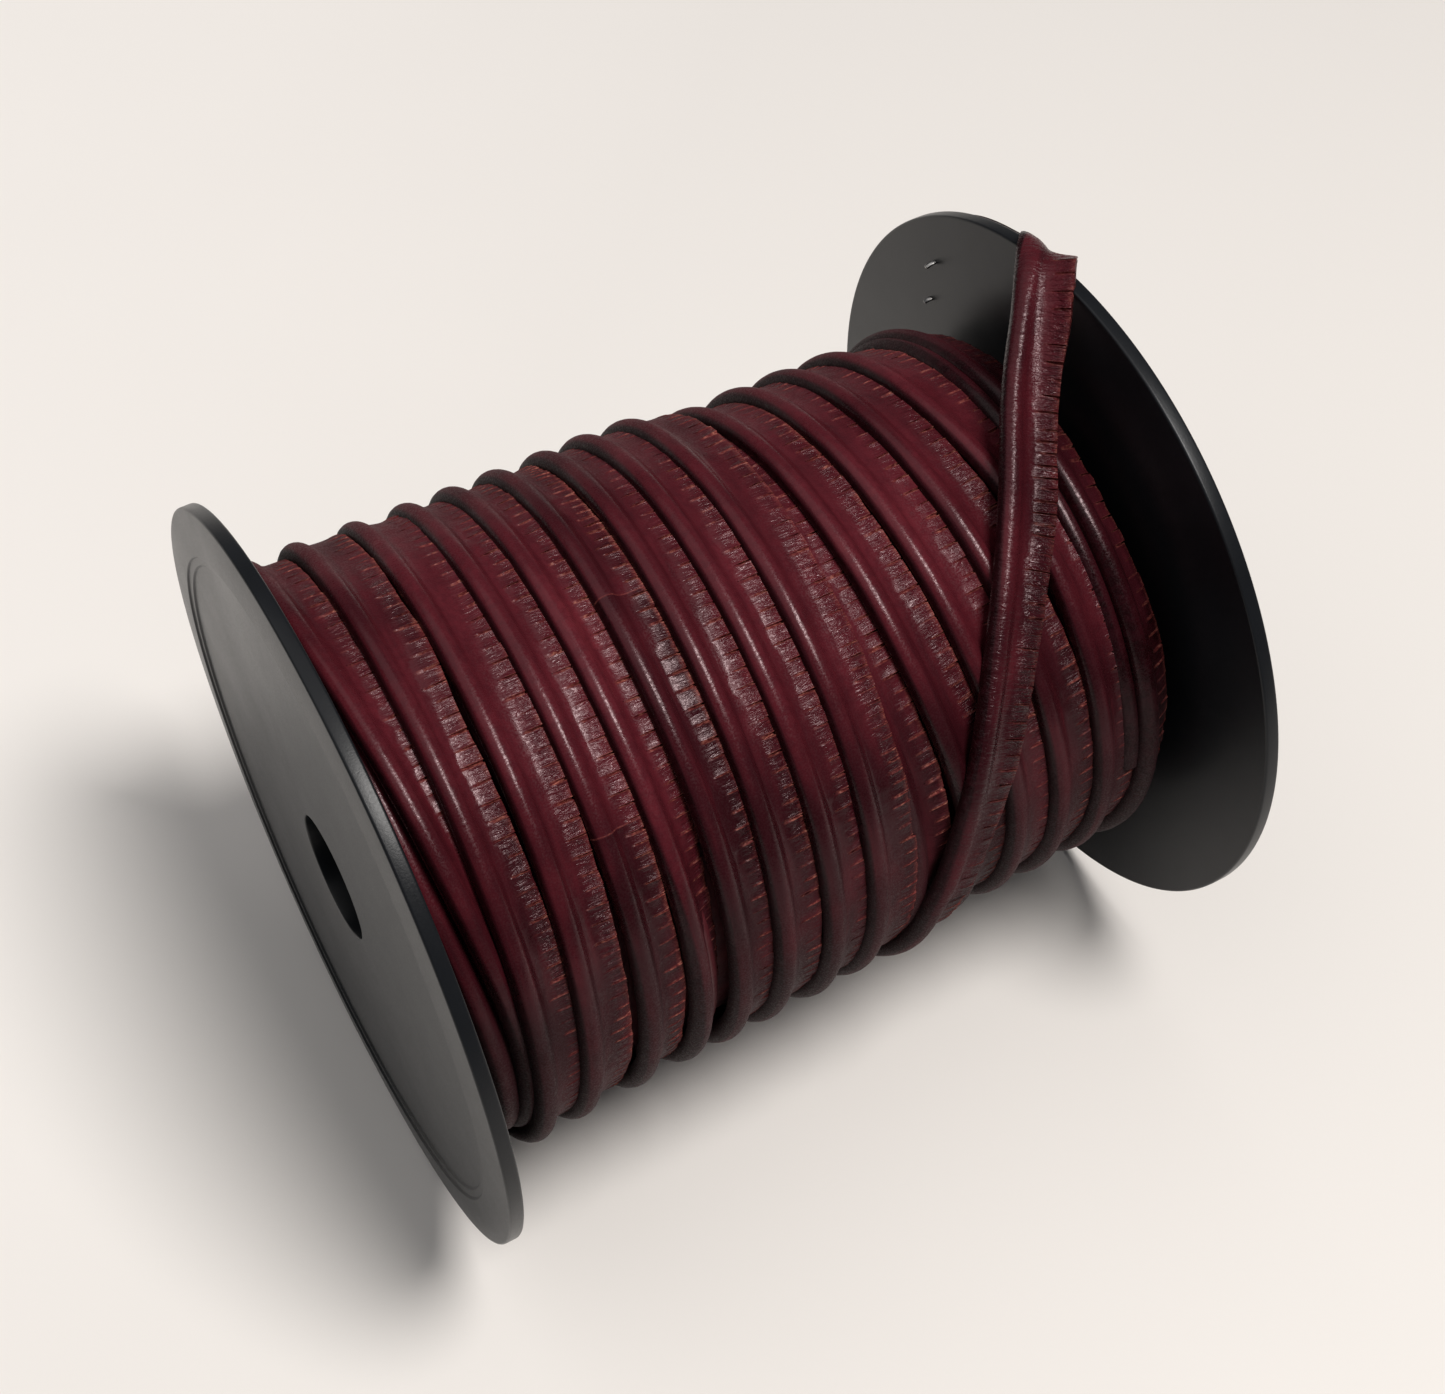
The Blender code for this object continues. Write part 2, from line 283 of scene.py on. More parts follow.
def core_material():
    """The core tube's plain dark plastic."""
    n = Nodes("core_plastic_look")
    place = n.place()
    grain = n.noise(place, 2400.0, 3.0, 0.6)
    dark = [(0.3, (0.018, 0.018, 0.019)), (0.7, (0.034, 0.033, 0.032))]
    n.set(Base_Color=n.ramp(grain, dark))
    n.set(Roughness=n.span(grain, 0.3, 0.7, 0.42, 0.58))
    n.set(Normal=n.bump(n.noise(n.stretch(place, (2400.0, 120.0, 120.0)), 1.0), 0.00005, 0.5))
    return n.material


def cotton_material():
    """Twisted off-white filler cord."""
    n = Nodes("filler_cotton_look")
    strip = n.attribute("strip", "Vector")
    fibre = n.noise(n.stretch(strip, (9.0, 2.0, 1.0)), 1.0, 4.0, 0.7)
    n.set(Base_Color=n.ramp(fibre, [(0.3, (0.30, 0.24, 0.18)), (0.7, (0.66, 0.58, 0.47))]))
    n.set(Roughness=n.span(fibre, 0.3, 0.7, 0.80, 0.95))
    n.set(Normal=n.bump(fibre, 0.00015, 0.8))
    return n.material


def steel_material():
    """Drawn staple wire, slightly tarnished."""
    n = Nodes("staple_steel_look")
    place = n.place()
    tarnish = n.noise(place, 1500.0, 4.0, 0.65)
    n.set(Base_Color=n.ramp(tarnish, [(0.3, (0.22, 0.21, 0.20)), (0.65, (0.55, 0.54, 0.53))]))
    n.set(Metallic=1.0, Roughness=n.span(tarnish, 0.3, 0.7, 0.22, 0.45))
    n.set(Normal=n.bump(n.noise(n.stretch(place, (900.0, 5000.0, 5000.0)), 1.0), 0.00002, 0.5))
    return n.material


# The floor's painted light: darkest at the front right and lightest at the back left, a pool of
# light painted on the paper
FLOOR_PAINTED_LIGHT = ((0.76, 0.73, 0.70), (0.79, 0.76, 0.73), (0.93, 0.895, 0.86))
# Painted shade: the floor far in front, out of view, is painted dark grey
FLOOR_PAINTED_SHADE_FAR = (0.22, 0.21, 0.20)
FAR_FRONT_START_Y, FAR_FRONT_END_Y = -0.17, -0.55


def floor_material():
    n = Nodes("pale_floor_look")
    place = n.place()
    cloud = n.noise(place, 6.0, 3.0, 0.5)
    parts = n.add("ShaderNodeSeparateXYZ")
    n.link(place, parts.inputs["Vector"])
    # Painted light: the floor is lighter towards the back left
    across = n.math("SUBTRACT", parts.outputs["Y"], parts.outputs["X"])
    across = n.span(across, -0.10, 0.30, 0.1, 0.9)
    across = n.math("ADD", across, n.math("MULTIPLY", n.math("SUBTRACT", cloud, 0.5), 0.2))
    paper = n.ramp(across, list(zip((0.1, 0.45, 0.9), FLOOR_PAINTED_LIGHT)))
    # Painted shade on the floor far in front
    far = n.span(parts.outputs["Y"], FAR_FRONT_START_Y, FAR_FRONT_END_Y)
    n.set(Base_Color=n.mix(far, paper, rgb(*FLOOR_PAINTED_SHADE_FAR)))
    n.set(Roughness=0.6, Normal=n.bump(n.noise(place, 1500.0, 3.0), 0.0001, 0.12))
    n.set(IOR=1.3)
    return n.material


# ---------------------------------------------------------------- meshes


def add_object(name, mesh, material):
    piece = bpy.data.objects.new(name, mesh)
    bpy.context.scene.collection.objects.link(piece)
    mesh.materials.append(material)
    return piece


def grid_mesh(name, places, sharp_degrees=50.0):
    """A closed tube through places[station, corner, xyz], in mm from the axis. Its corners run
    anticlockwise when the tube is seen from its end, looking back."""
    stations, corners = places.shape[:2]
    station, corner = np.meshgrid(np.arange(stations - 1), np.arange(corners), indexing="ij")
    following = (corner + 1) % corners
    a = station * corners + corner
    b = station * corners + following
    quads = np.stack([a, a + corners, b + corners, b], axis=-1).reshape(-1, 4)
    mesh = bpy.data.meshes.new(name)
    count = stations * corners
    caps = [list(range(corners)), list(range(count - 1, count - corners - 1, -1))]
    faces = quads.tolist() + caps
    places = (places + np.array([0.0, 0.0, AXIS_HEIGHT / MM])) * MM
    mesh.from_pydata(places.reshape(-1, 3).tolist(), [], faces)
    mesh.shade_smooth()
    mesh.set_sharp_from_angle(angle=math.radians(sharp_degrees))
    return mesh


def store(mesh, name, kind, values):
    attribute = mesh.attributes.new(name, kind, "POINT")
    key = "vector" if kind == "FLOAT_VECTOR" else "value"
    attribute.data.foreach_set(key, np.ascontiguousarray(values, np.float32).ravel())


# ---------------------------------------------------------------- the strip's route

# The turns are given where they pass this angle, and at 55 degrees before and 50 degrees after it
MIDDLE_ANGLE = -31.3
BEFORE, AFTER = -55.0, 50.0

# Seventh layer, wound from right to left. Each turn: X of the bead before, at and after the middle
# angle, its radius there, the flat's width from the bead's centre, and its tilt in degrees
SEVENTH_LAYER = (
    ((42.5, 41.6, 41.0), (34.8, 35.0, 35.3), 5.2, (-30, -30, -30)),
    ((44.6, 43.8, 42.8), (36.0, 36.1, 36.1), 5.4, (-26, -28, -14)),
    ((37.8, 36.7, 33.6), (36.1, 36.2, 36.3), (5.5, 5.6, 6.3), (-4, -4, -2)),
    ((31.0, 28.7, 26.6), (36.3, 36.4, 36.4), (5.9, 5.9, 6.1), (-3, -2, 0)),
    ((24.5, 21.5, 19.7), (36.4, 36.5, 36.5), (5.9, 5.9, 6.3), (-3, -1, 0)),
    ((17.6, 14.0, 12.5), (36.4, 36.5, 36.5), (5.9, 6.0, 5.8), (-2, 0, 0)),
    ((9.6, 7.2, 6.4), (36.2, 36.2, 36.2), (5.9, 5.9, 5.6), (-4, -2, 0)),
)
SEVENTH_LAYER_HIDDEN_TURNS = 7
SEVENTH_LAYER_HIDDEN_RADIUS = 35.8
HIDDEN_DRIFT = (1.2, 0.0, -1.1)  # how X changes before and after the middle angle
HIDDEN_WIDTH = 5.2
HIDDEN_TILT = -2
SEVENTH_LAYER_LAST = ((-47.9, -49.9, -50.3), (36.3, 36.2, 36.2), 5.0, (-10, -6, 0))

# Eighth layer, wound from left to right
EIGHTH_LAYER = (
    ((-44.8, -47.6, -49.6), (36.9, 39.2, 39.7), 5.0, (-16, -8, -3)),
    ((-43.7, -43.3, -43.0), (39.3, 39.4, 39.4), (5.4, 5.2, 6.1), (-5, 0, 2)),
    ((-37.4, -36.1, -35.4), (39.0, 39.0, 39.1), (5.7, 5.8, 6.4), (-4, 0, 1)),
    ((-29.3, -28.8, -28.3), (38.7, 38.7, 38.8), 5.1, (-6, 0, 0)),
    ((-22.3, -22.5, -22.1), (38.5, 38.6, 38.6), 4.8, (-34, -5, 0)),
    ((-16.7, -16.7, -16.0), (38.5, 38.5, 38.5), 5.2, (-4, 0, 1)),
    ((-10.5, -10.2, -9.3), (38.4, 38.4, 38.4), 5.5, (-2, 0, 0)),
    ((-3.5, -3.6, -3.2), (38.3, 38.3, 38.4), 5.5, (-4, 0, 0)),
    ((2.9, 3.0, 3.2), (38.0, 38.0, 38.1), 6.1, (-3, -1, 0)),
)

# The tail's route is the CAD part's: X, angle and radius on the winding, then X, Y and height over
# the axis on the outer face. The soft strip settles a little deeper where it leaves the winding,
# and leans towards the turn it comes from
TAIL_ON_WINDING = (
    (14.9, -94.5, 39.8),
    (16.7, -84.0, 39.7),
    (20.5, -63.0, 39.6),
    (27.0, -38.0, 39.7),
    (33.8, -20.0, 40.1),
    (40.5, -4.0, 43.2),
    (45.7, 5.0, 47.7),
    (50.0, 10.6, 51.6),
    (54.2, 15.4, 52.6),
)
TAIL_SETTLE = (1.3, 1.3, 1.1, 0.6, 0.2, 0.0, 0.2, 0.9, 1.8)
TAIL_LEAN = (-3.8, -3.4, -2.2, -0.6, 0.0, 0.0, 0.4, 0.0, -0.6)
TAIL_FACE_SETTLE = ((0.5, 2.4, 2.8), (0.1, 0.9, 1.3))  # at the first points on the face
TAIL_ON_FACE = (
    (56.3, 19.4, 46.4),
    (56.4, 24.6, 41.4),
    (56.4, 29.4, 36.5),
    (56.4, 33.2, 31.2),
    (56.4, 35.2, 26.3),
    (56.4, 36.9, 22.1),
)
TAIL_WIDTH = 5.8
FOLD_START_X, FOLD_END_X = 50.4, 56.3
EDGE_LIFT = 13.0
LIFT_START_X, LIFT_END_X = 41.0, 56.0
# Over the rim the bead is pressed flatter and wider
PINCH_START_X, PINCH_END_X = 46.0, 52.0
PINCH, SPREAD = 0.55, 0.22
TAIL_GUIDES = 4  # this many of the tail's first points also guide the end of the winding
TAIL_STEPS = 12  # between two of its points
TAIL_TURN = 100  # degrees that the tail counts for along the route

INNER_LAYERS = 6
FIRST_LAYER_RADIUS = 18.27
LAYER_PITCH = 3.03
INNER_SPAN = (-50.3, 44.0)
INNER_TURN_PITCH = 6.6
INNER_WIDTH = 5.0
INNER_POINTS_PER_TURN = 36
LAYER_CHANGE = 0.35  # turns at each end of a layer in which the strip climbs to the next

ROUTE_STEP = 1.5  # degrees between the route's points on the winding
ROUTE_SMOOTHING = 1.5  # mm


def progress(value, start, end):
    """How far the value has come on its way from start to end, from 0 to 1."""
    return np.clip((value - start) / (end - start), 0, 1)


def gentle(knots, values, at):
    """A smooth curve through the knots that never overshoots them."""
    knots, values = np.asarray(knots, float), np.asarray(values, float)
    rise = np.diff(values) / np.diff(knots)
    slope = np.zeros_like(values)
    before, after = rise[:-1], rise[1:]
    same = before * after > 0
    slope[1:-1][same] = 2 * before[same] * after[same] / (before[same] + after[same])
    slope[0], slope[-1] = rise[0], rise[-1]
    at = np.clip(at, knots[0], knots[-1])
    i = np.clip(np.searchsorted(knots, at, side="right") - 1, 0, len(knots) - 2)
    width = knots[i + 1] - knots[i]
    u = (at - knots[i]) / width
    start = (1 + 2 * u) * (1 - u) ** 2 * values[i] + u * (1 - u) ** 2 * width * slope[i]
    end = u * u * (3 - 2 * u) * values[i + 1] + u * u * (u - 1) * width * slope[i + 1]
    return start + end


def round_the_axis(x, degrees, radius):
    """Points in mm, relative to the axis."""
    angle = np.radians(degrees)
    return np.stack([x + 0 * angle, radius * np.sin(angle), radius * np.cos(angle)], axis=-1)


def smooth_through(points, per_span):
    """A Catmull-Rom curve through the points."""
    points = np.asarray(points, float)
    padded = np.vstack([2 * points[0] - points[1], points, 2 * points[-1] - points[-2]])
    u = np.arange(per_span)[:, None] / per_span
    curve = []
    for before, start, end, after in zip(padded, padded[1:], padded[2:], padded[3:]):
        linear = (end - before) * u
        square = (2 * before - 5 * start + 4 * end - after) * u**2
        cube = (3 * start - before - 3 * end + after) * u**3
        curve.append((2 * start + linear + square + cube) / 2)
    return np.vstack([*curve, points[-1:]])


def hidden_turns():
    """The seventh layer's turns under the eighth, evenly spaced from its last visible turn."""
    start = SEVENTH_LAYER[-1][0][1]
    end = SEVENTH_LAYER_LAST[0][1]
    rows = []
    for turn in range(1, SEVENTH_LAYER_HIDDEN_TURNS + 1):
        x = start + (end - start) * turn / (SEVENTH_LAYER_HIDDEN_TURNS + 1)
        radius = SEVENTH_LAYER_HIDDEN_RADIUS
        places = tuple(x + drift for drift in HIDDEN_DRIFT)
        rows.append((places, (radius,) * 3, HIDDEN_WIDTH, (HIDDEN_TILT,) * 3))
    return tuple(rows)


OUTER_TURNS = (*SEVENTH_LAYER, *hidden_turns(), SEVENTH_LAYER_LAST, *EIGHTH_LAYER)
FIRST_EIGHTH = len(OUTER_TURNS) - len(EIGHTH_LAYER)

# Where one length of leather is spliced to the next, in turns along the route
SPLICES = (FIRST_EIGHTH + 3 - 12 / 360, FIRST_EIGHTH + 5 + 25 / 360)


class Route:
    """The strip's line with its frames: place, direction, the way to the flat's edge, the way out,
    and the flat's width and tilt, all by distance along the line in mm."""

    def __init__(self, points, up, width, tilt, turn):
        self.points = points
        steps = np.linalg.norm(np.diff(points, axis=0), axis=1)
        self.s = np.concatenate([[0.0], np.cumsum(steps)])
        self.length = self.s[-1]
        self.up = up
        self.width = width
        self.tilt = tilt
        self.turn = turn
        along = np.gradient(points, self.s, axis=0)
        self.along = along / np.linalg.norm(along, axis=1)[:, None]

    def at(self, values, s):
        if values.ndim == 1:
            return np.interp(s, self.s, values)
        return np.stack([np.interp(s, self.s, column) for column in values.T], axis=-1)

    def frames(self, s):
        along = self.at(self.along, s)
        along /= np.linalg.norm(along, axis=1)[:, None]
        side = np.cross(along, self.at(self.up, s))
        side /= np.linalg.norm(side, axis=1)[:, None]
        up = np.cross(side, along)
        tilt = np.radians(self.at(self.tilt, s))[:, None]
        turned_side = side * np.cos(tilt) + up * np.sin(tilt)
        turned_up = up * np.cos(tilt) - side * np.sin(tilt)
        return self.at(self.points, s), along, turned_side, turned_up

    def s_at_turn(self, turn):
        return float(np.interp(turn, self.turn, self.s))


def smoothed(points, sigma):
    """The line with its small corners eased, its ends kept."""
    reach = int(3 * sigma) + 1
    weights = np.exp(-0.5 * (np.arange(-reach, reach + 1) / sigma) ** 2)
    weights /= weights.sum()
    padded = np.vstack([
        2 * points[0] - points[reach:0:-1],
        points,
        2 * points[-1] - points[-2 : -reach - 2 : -1],
    ])
    return np.stack([np.convolve(padded[:, i], weights, "valid") for i in range(3)], axis=-1)


def even(points, step):
    lengths = np.concatenate([[0.0], np.cumsum(np.linalg.norm(np.diff(points, axis=0), axis=1))])
    at = np.linspace(0.0, lengths[-1], int(lengths[-1] / step) + 1)
    return np.stack([np.interp(at, lengths, points[:, i]) for i in range(3)], axis=-1), at, lengths


def outer_route():
    """The seventh layer, the eighth, and the tail, as one line."""
    knots, xs, radii, widths, tilts = [], [], [], [], []
    for turn, (x, radius, width, tilt) in enumerate(OUTER_TURNS):
        widths_here = width if isinstance(width, tuple) else (width,) * 3
        rows = zip((BEFORE, 0.0, AFTER), x, radius, widths_here, tilt)
        for offset, one_x, one_radius, one_width, one_tilt in rows:
            knots.append(turn * 360 + offset)
            xs.append(one_x)
            radii.append(one_radius)
            widths.append(one_width)
            tilts.append(one_tilt)
    last = len(OUTER_TURNS) * 360
    tail_places = [
        (x + lean, angle, radius - settle)
        for (x, angle, radius), settle, lean in zip(TAIL_ON_WINDING, TAIL_SETTLE, TAIL_LEAN)
    ]
    for x, angle, radius in tail_places[:TAIL_GUIDES]:
        knots.append(last + angle - MIDDLE_ANGLE)
        xs.append(x)
        radii.append(radius)
        widths.append(TAIL_WIDTH)
        tilts.append(0.0)
    leave = knots[-TAIL_GUIDES]
    degrees = np.arange(BEFORE, leave, ROUTE_STEP)
    winding = round_the_axis(
        gentle(knots, xs, degrees), degrees + MIDDLE_ANGLE, gentle(knots, radii, degrees)
    )
    tail = [round_the_axis(*place) for place in tail_places]
    face = np.array(TAIL_ON_FACE)
    face[: len(TAIL_FACE_SETTLE)] -= TAIL_FACE_SETTLE
    tail = smooth_through([*tail, *face], TAIL_STEPS)
    line = np.vstack([winding, tail])
    width = np.concatenate([gentle(knots, widths, degrees), np.full(len(tail), TAIL_WIDTH)])
    tilt = np.concatenate([gentle(knots, tilts, degrees), np.zeros(len(tail))])
    tail_degrees = leave + np.linspace(0, TAIL_TURN, len(tail))
    turn = np.concatenate([degrees, tail_degrees]) / 360
    points, at, lengths = even(line, 1.0)
    points = smoothed(points, ROUTE_SMOOTHING)
    width, tilt, turn = (np.interp(at, lengths, values) for values in (width, tilt, turn))

    in_tail = turn > leave / 360
    radial = points * (0, 1, 1)
    radial /= np.linalg.norm(radial, axis=1)[:, None]
    folded = progress(points[:, 0], FOLD_START_X, FOLD_END_X)
    fold = (folded * in_tail * math.pi / 2)[:, None]
    up = radial * np.cos(fold) + np.array([1.0, 0.0, 0.0]) * np.sin(fold)
    lifting = progress(points[:, 0], LIFT_START_X, LIFT_END_X)
    tilt = tilt + EDGE_LIFT * np.sin(np.pi * lifting) * in_tail
    route = Route(points, up, width, tilt, turn)
    route.tail_start = float(np.interp(leave / 360, turn, route.s))
    return route


def inner_route():
    """The six layers under the seventh, back and forth between the flanges."""
    low, high = INNER_SPAN
    turns_per_layer = (high - low) / INNER_TURN_PITCH
    knots, xs, radii = [], [], []
    for layer in range(INNER_LAYERS):
        leftward = layer % 2 == 0
        start, end = (high, low) if leftward else (low, high)
        radius = FIRST_LAYER_RADIUS + layer * LAYER_PITCH
        begin = layer * turns_per_layer
        knots += [begin + LAYER_CHANGE, begin + turns_per_layer - LAYER_CHANGE]
        xs += [start, end]
        radii += [radius, radius]
    turns = np.arange(knots[0], knots[-1], 1 / INNER_POINTS_PER_TURN)
    x = np.interp(turns, knots, xs)
    points = round_the_axis(x, turns * 360, gentle(knots, radii, turns))
    radial = points * (0, 1, 1)
    radial /= np.linalg.norm(radial, axis=1)[:, None]
    flat = np.full(len(points), INNER_WIDTH)
    return Route(points, radial, flat, 0 * flat, turns)


# ---------------------------------------------------------------- the strip's surface

BEAD_RADIUS = 1.5
FLAT_TOP = 0.0
FLAT_BOTTOM = -1.06
FILLET_RISE = 0.40
GROOVE = 1.58
UNDERSIDE_START = 2.1
NOTCH_PITCH = 2.15
NOTCH_LENGTH = 2.5
NOTCH_DEPTH = 0.55
NOTCH_HALF_WIDTH = 0.07
NOTCH_OFFSETS = (-0.24, -0.14, -0.07, 0.0, 0.07, 0.14, 0.24)
NOTCH_OPENING = (0.0, -0.10, 0.85, 1.0, 0.85, -0.10, 0.0)
NOTCH_DRAWS_BACK = 0.30  # the edge, at a notch
NOTCH_CLEARANCE = 0.6  # from the ends of a piece
SPLICE_CLEARANCE = 2
LEAST_MARGIN = 0.7  # between the groove and the notches
CLOSE_NOTCHES = 0.68  # their pitch where they crowd together, as a share of the usual pitch
CROWDED_ABOVE = 1.15

SPLICE_OFFSETS = (-0.30, -0.14, 0.0, 0.14, 0.30)
SPLICE_HALF_WIDTH = 0.14
SPLICE_SHADE = 0.10  # the leather before a splice is darker
SPLICE_FADE = 25.0  # mm over which that shade is lost

# How the strip varies along its length: the spacing of each random wave in mm, and its amount
WIDTH_WAVES = ((9.0, 0.10), (2.2, 0.05))
CROWN_WAVE = (11.0, 0.10)
SAG_WAVE = (14.0, 0.12)
BEAD_WAVE = (17.0, 0.012)
WEAR_WAVES = ((45.0, 0.22), (1.3, 0.22))
CRINKLE_WAVE = (16.0, 0.25)
TONE_WAVE = (60.0, 0.04)
USUAL_WEAR, LEAST_WEAR = 0.45, 0.05  # how much the raw inside shows along the edge
USUAL_CRINKLE, LEAST_CRINKLE = 0.70, 0.3

PAINTED_SHADE_IN_GAP = 0.80  # painted shade on the bead's flank towards the turn before, down in the dark gap between turns
FLANK_START, FLANK_FADE = 1.05, 0.35  # mm from the bead's centre
PAINTED_SHADE_IN_FRONT = 0.21  # painted shade: the side turned to the front is painted a little darker
FRONT_ANGLES = (-28.0, -56.0)
DULL_IN_FRONT = (-58.0, -78.0)  # the wax is rubbed off low in front and behind the top
DULL_BEHIND = (14.0, 32.0)
CRINKLES = {"tail_strip": 1.0}  # how much more the loose end is creased
CRINKLE_ON_BEAD = 0.35  # and the share of it that its bead shows
CUT_LENGTHS = {"tail_strip": 1.2}  # how much longer its notches are
# Painted shade on the cut edges: dimmed on the tail, whose notches are deep and dark, and on the
# turns in the right flange's shadow
CUT_PAINTED_SHADE = {"tail_strip": 0.5, "seventh_layer_right_a": 0.5}
PAINTED_FLANGE_SHADOW = {"seventh_layer_right_a": -0.17}  # painted shadow of the right flange on the turns against it


def wander(rng, s, spacing, amount):
    """A smooth random wave along the strip."""
    knots = np.arange(s.min() - 3 * spacing, s.max() + 4 * spacing, spacing)
    values = rng.normal(0.0, amount, len(knots))
    return gentle(knots, values, s)


def over_the_rim(x):
    """How much the tail is pressed flat where it folds over the right flange."""
    return progress(x, PINCH_START_X, PINCH_END_X)


def bead_columns():
    angles = np.radians([30, 40, 51, 63, 77, 91, 106, 124, 145, 168, 193, 222, 252, 282, 308])
    return BEAD_RADIUS * np.cos(angles), BEAD_RADIUS * np.sin(angles)


def strip_stations(route, start, end, cuts, half_widths):
    """Distances along the strip where its section is drawn, how open a notch is at each of them,
    the middles between notches, and the splices on this stretch."""
    spread = half_widths / NOTCH_HALF_WIDTH
    around = (cuts[:, None] + np.array(NOTCH_OFFSETS) * spread[:, None]).ravel()
    opening = np.tile(NOTCH_OPENING, len(cuts))
    middles = (cuts[1:] + cuts[:-1]) / 2
    joins = [route.s_at_turn(turn) for turn in SPLICES]
    low, high = start + SPLICE_CLEARANCE, end - SPLICE_CLEARANCE
    joins = [join for join in joins if low < join < high]
    ridge = (np.array(joins)[:, None] + np.array(SPLICE_OFFSETS)).ravel()
    s = np.concatenate([[start], around, middles, ridge, [end]])
    closed = np.zeros(len(middles) + len(ridge))
    open_share = np.concatenate([[0.0], opening, closed, [0.0]])
    order = np.argsort(s, kind="stable")
    return s[order], open_share[order], middles, joins


def strip_section(width, band, bead_width, bead_height):
    """The section at each station, from the notched edge over the bead and back underneath: each
    point's distance from the bead's centre, its height, its share of the way across the notched
    band, and how much of it is the cut edge."""
    columns = []

    def column(w, h, q=0.0, edge=0.0):
        columns.append([value * np.ones_like(width) for value in (w, h, q, edge)])

    for q in (0.975, 0.87, 0.68, 0.45, 0.22, 0.06):
        column(width - band * (1 - q), FLAT_TOP - 0.10 * q**6, q)
    inner_edge = width - band
    for share in (0.92, 0.72, 0.50, 0.28, 0.08):
        column(GROOVE + (inner_edge - GROOVE) * share, FLAT_TOP + FILLET_RISE * (1 - share) ** 1.6)
    for w, h in zip(*bead_columns()):
        column(w * bead_width, h * bead_height)
    column(UNDERSIDE_START, FLAT_BOTTOM)
    column(width - 1.0, FLAT_BOTTOM)
    column(width - 0.12, FLAT_BOTTOM + 0.04, 0.0, 0.6)
    column(width, FLAT_BOTTOM + 0.25, 0.0, 1.0)
    column(width - 0.08, (FLAT_TOP + FLAT_BOTTOM) / 2, 0.4, 1.0)
    column(width, FLAT_TOP - 0.22, 1.0, 1.0)
    return np.array(columns).transpose(1, 2, 0)


def inside_shown(rng, s, open_share, open_here, depth, q, edge):
    """How much of the undyed inside shows: in the notches, on their lips and on the worn edge."""
    bright = np.clip(depth * 1.2 - 0.4, 0, 0.8)
    lip = (np.clip(-open_share * 9, 0, 1) * bright)[:, None] * np.clip(q * 3, 0, 1)
    worn = USUAL_WEAR
    for wave in WEAR_WAVES:
        worn = worn + wander(rng, s, *wave)
    worn = np.clip(worn, LEAST_WEAR, 1.0)[:, None]
    rim = np.maximum(edge, np.clip(q * 5.5 - 4.3, 0, 1))
    return np.maximum(open_here * np.clip(q * 3, 0, 1), lip) + rim * worn


def creasing(rng, s, flatness, extra):
    """How deeply the strip is creased: on the flat, and on the bead only where it's loose."""
    usual = np.clip(wander(rng, s, *CRINKLE_WAVE) + USUAL_CRINKLE, LEAST_CRINKLE, 1.0)[:, None]
    return (usual + extra) * np.clip(flatness * 3.0 - 1.0, 0, 1) + CRINKLE_ON_BEAD * extra


